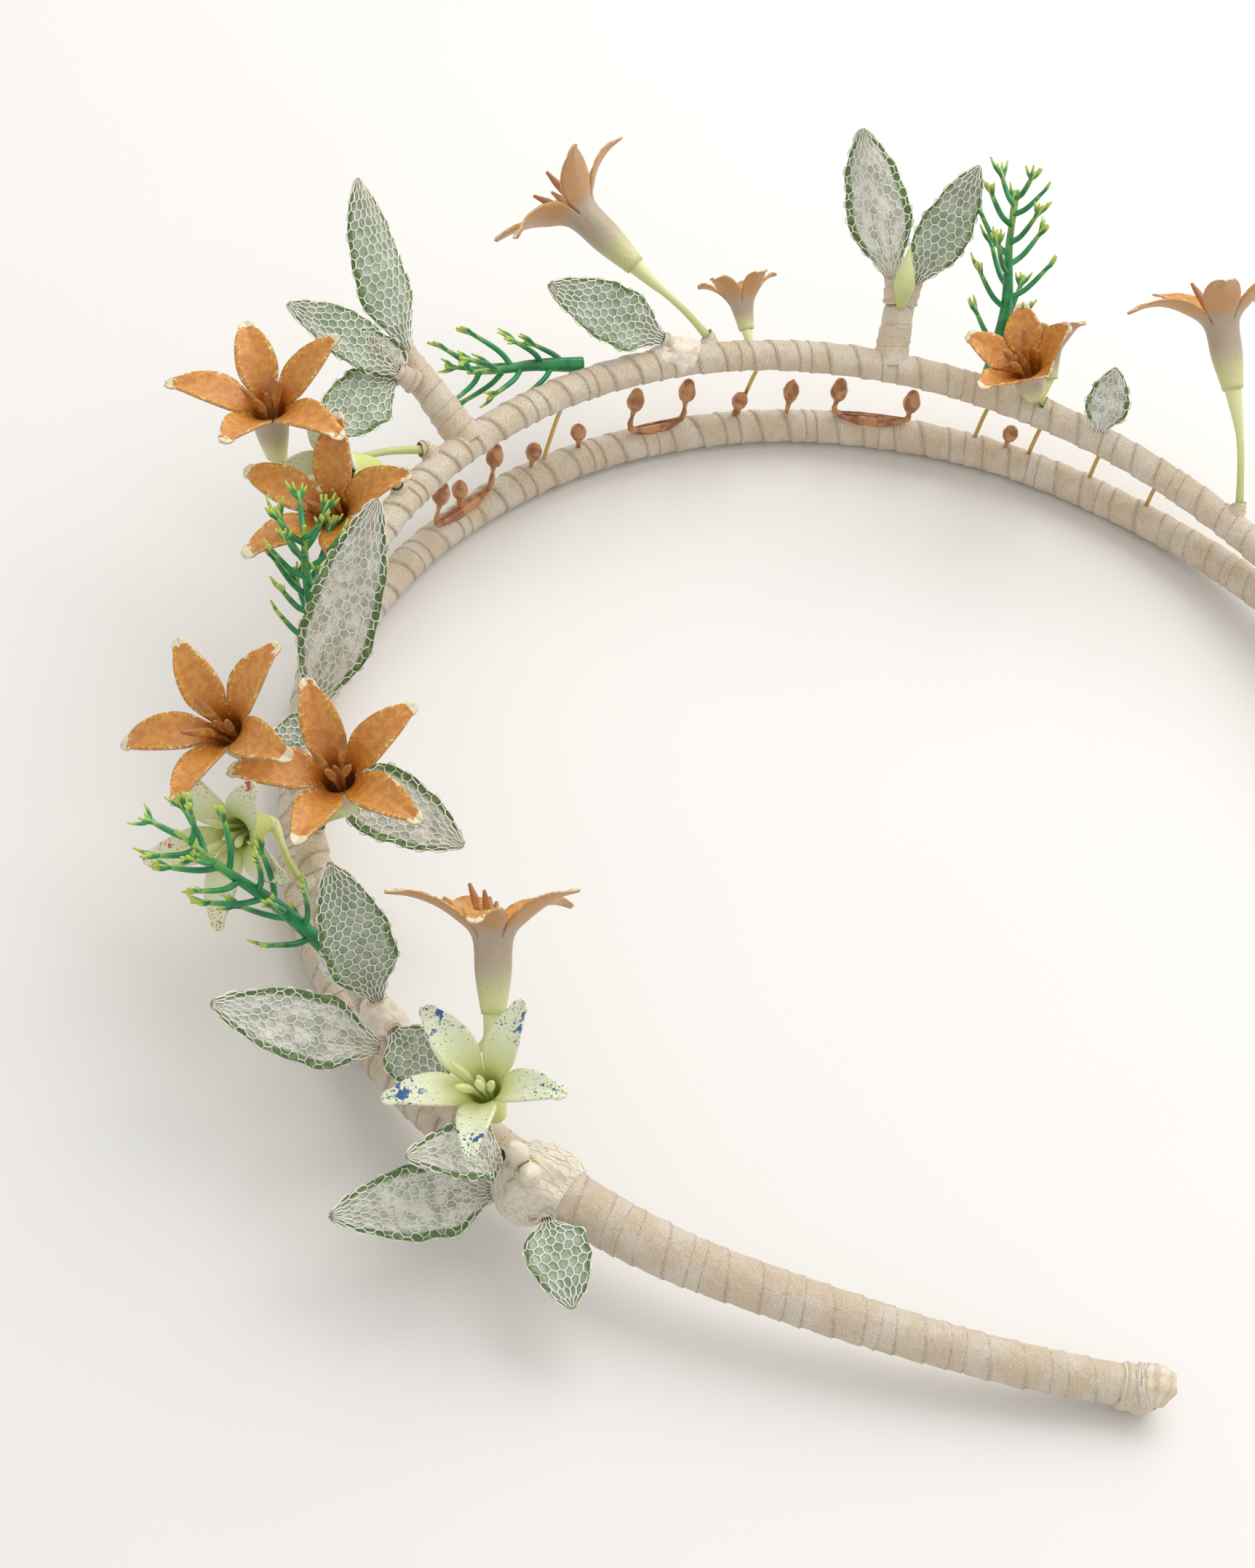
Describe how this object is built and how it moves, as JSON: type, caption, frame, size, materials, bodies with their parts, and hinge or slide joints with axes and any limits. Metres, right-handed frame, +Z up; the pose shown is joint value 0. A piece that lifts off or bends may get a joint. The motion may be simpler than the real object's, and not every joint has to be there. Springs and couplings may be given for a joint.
{
  "type": "flower crown",
  "caption": "Open-backed wired head hoop with ribbon-wrapped bands, flexing arms, bendable lilies, netted leaves and fern sprigs.",
  "frame": {"origin": "centre of the hoop, on the surface that the crown rests on", "axes": "+Z up, +Y to the front of the crown, +X to the far side; the arms open towards -Y"},
  "size_m": [0.193, 0.1847, 0.0443],
  "materials": {
    "core_wire": "paper-covered stem wire, matt green-brown",
    "ribbon": "ivory-champagne satin ribbon wound in narrow turns",
    "netted_leaf": "green-rimmed cloth leaf under ivory hexagonal net",
    "orange_petal": "burnt orange satin paint, chipped pale at the edges",
    "pale_petal": "translucent pale yellow-green with blue or red speckles",
    "lily_stem": "translucent pale green",
    "fern": "glossy moulded green with yellow-green tips",
    "wax_bud": "ivory wax on brass wire",
    "pip": "orange-brown lacquered pip on thin olive wire"
  },
  "bodies": {
    "hoop": {"branch_stub_left": "ribbon", "branch_stub_right": "ribbon", "bud_pair_near": "wax_bud", "bud_pair_side": "wax_bud", "fern_front": "fern", "fern_left": "fern", "fern_right": "fern", "fern_side": "fern", "leaf_far_knot_arched": "netted_leaf", "leaf_far_knot_long": "netted_leaf", "leaf_front_back": "netted_leaf", "leaf_front_low": "netted_leaf", "leaf_front_tall": "netted_leaf", "leaf_left_inner": "netted_leaf", "leaf_left_tall": "netted_leaf", "leaf_middle": "netted_leaf", "leaf_near_inner": "netted_leaf", "leaf_near_knot_arched": "netted_leaf", "leaf_near_knot_long": "netted_leaf", "leaf_right_short": "netted_leaf", "leaf_right_tall": "netted_leaf", "leaf_side_outer": "netted_leaf", "leaf_side_upright": "netted_leaf", "lily_right_small_petals": "orange_petal", "lily_right_small_stem": "lily_stem", "lower_band_wire": "core_wire", "lower_band_wrap": "ribbon", "pale_lily_plain_petals": "pale_petal", "pale_lily_plain_stem": "lily_stem", "pale_lily_speckled_red_petals": "pale_petal", "pale_lily_speckled_red_stem": "lily_stem", "pip_wire_left": "pip", "pip_wire_middle": "pip", "pip_wire_right": "pip", "upper_band_wire": "core_wire", "upper_band_wrap": "ribbon"},
    "near_arm": {"leaf_near_arm_hanging": "netted_leaf", "near_arm_end": "ribbon", "near_arm_wire": "core_wire", "near_arm_wrap": "ribbon"},
    "far_arm": {"far_arm_end": "ribbon", "far_arm_wire": "core_wire", "far_arm_wrap": "ribbon", "leaf_far_arm_hanging": "netted_leaf"},
    "lily_near": {"lily_near_petals": "orange_petal", "lily_near_stem": "lily_stem"},
    "lily_side_open": {"lily_side_open_petals": "orange_petal", "lily_side_open_stem": "lily_stem"},
    "lily_side_outer": {"lily_side_outer_petals": "orange_petal", "lily_side_outer_stem": "lily_stem"},
    "lily_left_low": {"lily_left_low_petals": "orange_petal", "lily_left_low_stem": "lily_stem"},
    "lily_left_high": {"lily_left_high_petals": "orange_petal", "lily_left_high_stem": "lily_stem"},
    "lily_front": {"lily_front_petals": "orange_petal", "lily_front_stem": "lily_stem"},
    "lily_right": {"lily_right_petals": "orange_petal", "lily_right_stem": "lily_stem"},
    "pale_lily_speckled_blue": {"pale_lily_speckled_blue_petals": "pale_petal", "pale_lily_speckled_blue_stem": "lily_stem"}
  },
  "joints": [
    {"name": "near_arm_flex", "type": "hinge", "parent": "hoop", "child": "near_arm", "pos_m": [-0.07072, -0.0181, 0.00959], "axis": [0, 0, 1], "range_deg": [-10, 5], "stiffness_Nm_per_rad": 0.6},
    {"name": "far_arm_flex", "type": "hinge", "parent": "hoop", "child": "far_arm", "pos_m": [0.07072, -0.0181, 0.00959], "axis": [0, 0, 1], "range_deg": [-5, 10], "stiffness_Nm_per_rad": 0.6},
    {"name": "lily_near_bend", "type": "hinge", "parent": "hoop", "child": "lily_near", "pos_m": [-0.07224, -0.00134, 0.01302], "axis": [0.5736, 0.8192, 0], "range_deg": [-5, 18]},
    {"name": "lily_side_open_bend", "type": "hinge", "parent": "hoop", "child": "lily_side_open", "pos_m": [-0.06309, 0.03474, 0.01539], "axis": [0.891, 0.454, 0], "range_deg": [-6, 18]},
    {"name": "lily_side_outer_bend", "type": "hinge", "parent": "hoop", "child": "lily_side_outer", "pos_m": [-0.0618, 0.04147, 0.01561], "axis": [-0.3907, -0.9205, 0], "range_deg": [-6, 6]},
    {"name": "lily_left_low_bend", "type": "hinge", "parent": "hoop", "child": "lily_left_low", "pos_m": [-0.0298, 0.06653, 0.01969], "axis": [0.4384, -0.8988, 0], "range_deg": [0, 6]},
    {"name": "lily_left_high_bend", "type": "hinge", "parent": "hoop", "child": "lily_left_high", "pos_m": [-0.01572, 0.07372, 0.01918], "axis": [-0.3584, -0.9336, 0], "range_deg": [-18, 8]},
    {"name": "lily_front_bend", "type": "hinge", "parent": "hoop", "child": "lily_front", "pos_m": [0.0295, 0.06929, 0.01843], "axis": [-0.9703, -0.2419, 0], "range_deg": [-20, 20]},
    {"name": "lily_right_bend", "type": "hinge", "parent": "hoop", "child": "lily_right", "pos_m": [0.07408, 0.00898, 0.01327], "axis": [-0.8192, 0.5736, 0], "range_deg": [-20, 20]},
    {"name": "pale_lily_speckled_blue_bend", "type": "hinge", "parent": "hoop", "child": "pale_lily_speckled_blue", "pos_m": [-0.07259, -0.00769, 0.01316], "axis": [0.9945, 0.1045, 0], "range_deg": [-10, 5]}
  ]
}
